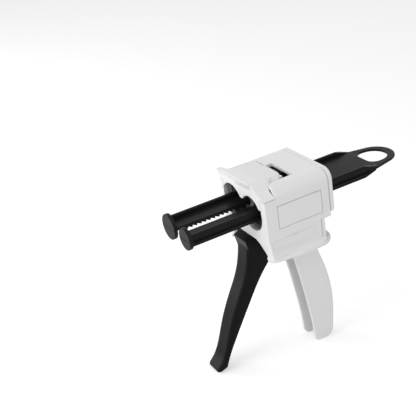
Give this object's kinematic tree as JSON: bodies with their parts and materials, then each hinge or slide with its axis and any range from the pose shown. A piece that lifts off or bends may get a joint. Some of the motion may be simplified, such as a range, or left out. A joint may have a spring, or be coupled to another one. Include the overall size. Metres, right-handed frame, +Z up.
{
  "type": "cartridge dispensing gun",
  "caption": "Hand-squeezed dispensing gun for twin-barrel dental impression cartridges: ratchet plunger, hinged cartridge latch, trigger lever and release lever.",
  "frame": {"origin": "midway between the two barrel axes, on the flat front face of the body", "axes": "+X forward along the two plunger rods, +Y to the gun's left, +Z up"},
  "size_m": [0.1897, 0.0684, 0.1583],
  "materials": {
    "white_shell": "fine satin moulding",
    "black_lever": "satin moulding",
    "black_plunger": "smooth moulding",
    "grey_disc": "satin moulding",
    "guide_grey": "satin moulding",
    "pawl_steel": "blanked and tumbled",
    "pin_steel": "ground",
    "spring_steel": "drawn wire and strip"
  },
  "bodies": {
    "gun_body": {"housing": "white_shell", "plunger_guide": "guide_grey", "rear_cover": "white_shell", "handle": "white_shell", "lever_pivot_pin": "pin_steel", "latch_hinge_pin": "pin_steel", "release_hinge_pin": "pin_steel", "brake_leaf_large": "spring_steel", "brake_leaf_small": "spring_steel"},
    "trigger": {"trigger_lever": "black_lever", "pawl_pin": "pin_steel", "lever_spring": "spring_steel"},
    "pawl": {"drive_pawl": "pawl_steel", "pawl_spring": "spring_steel"},
    "latch": {"cartridge_latch": "white_shell"},
    "release": {"release_lever": "black_lever", "release_spring": "spring_steel"},
    "plunger": {"plunger_yoke": "black_plunger", "plunger_rod_large": "black_plunger", "plunger_rod_small": "black_plunger", "piston_disc_large": "grey_disc", "piston_disc_small": "grey_disc"}
  },
  "joints": [
    {"name": "trigger_pull", "type": "hinge", "parent": "gun_body", "child": "trigger", "pos_m": [-0.023, 0, -0.015], "axis": [0, 1, 0], "range_deg": [0, 30], "stiffness_Nm_per_rad": 0.25, "springref_deg": -22.92, "deforming": ["lever_spring"]},
    {"name": "pawl_swing", "type": "hinge", "parent": "trigger", "child": "pawl", "pos_m": [-0.03, 0, -0.0087], "axis": [0, 1, 0], "range_deg": [-15, 0], "deforming": ["pawl_spring"]},
    {"name": "plunger_slide", "type": "slide", "parent": "gun_body", "child": "plunger", "axis": [1, 0, 0], "range_m": [-0.0625, 0.04]},
    {"name": "latch_lift", "type": "hinge", "parent": "gun_body", "child": "latch", "pos_m": [-0.024, 0, 0.0192], "axis": [0, -1, 0], "range_deg": [0, 60]},
    {"name": "release_lift", "type": "hinge", "parent": "gun_body", "child": "release", "pos_m": [-0.0419, 0, -0.026], "axis": [0, 1, 0], "range_deg": [0, 8], "stiffness_Nm_per_rad": 0.05, "springref_deg": -17.19, "deforming": ["release_spring"]}
  ],
  "couplings": [
    {"joint": "pawl_swing", "follows": "trigger_pull", "ratio": -0.5}
  ]
}
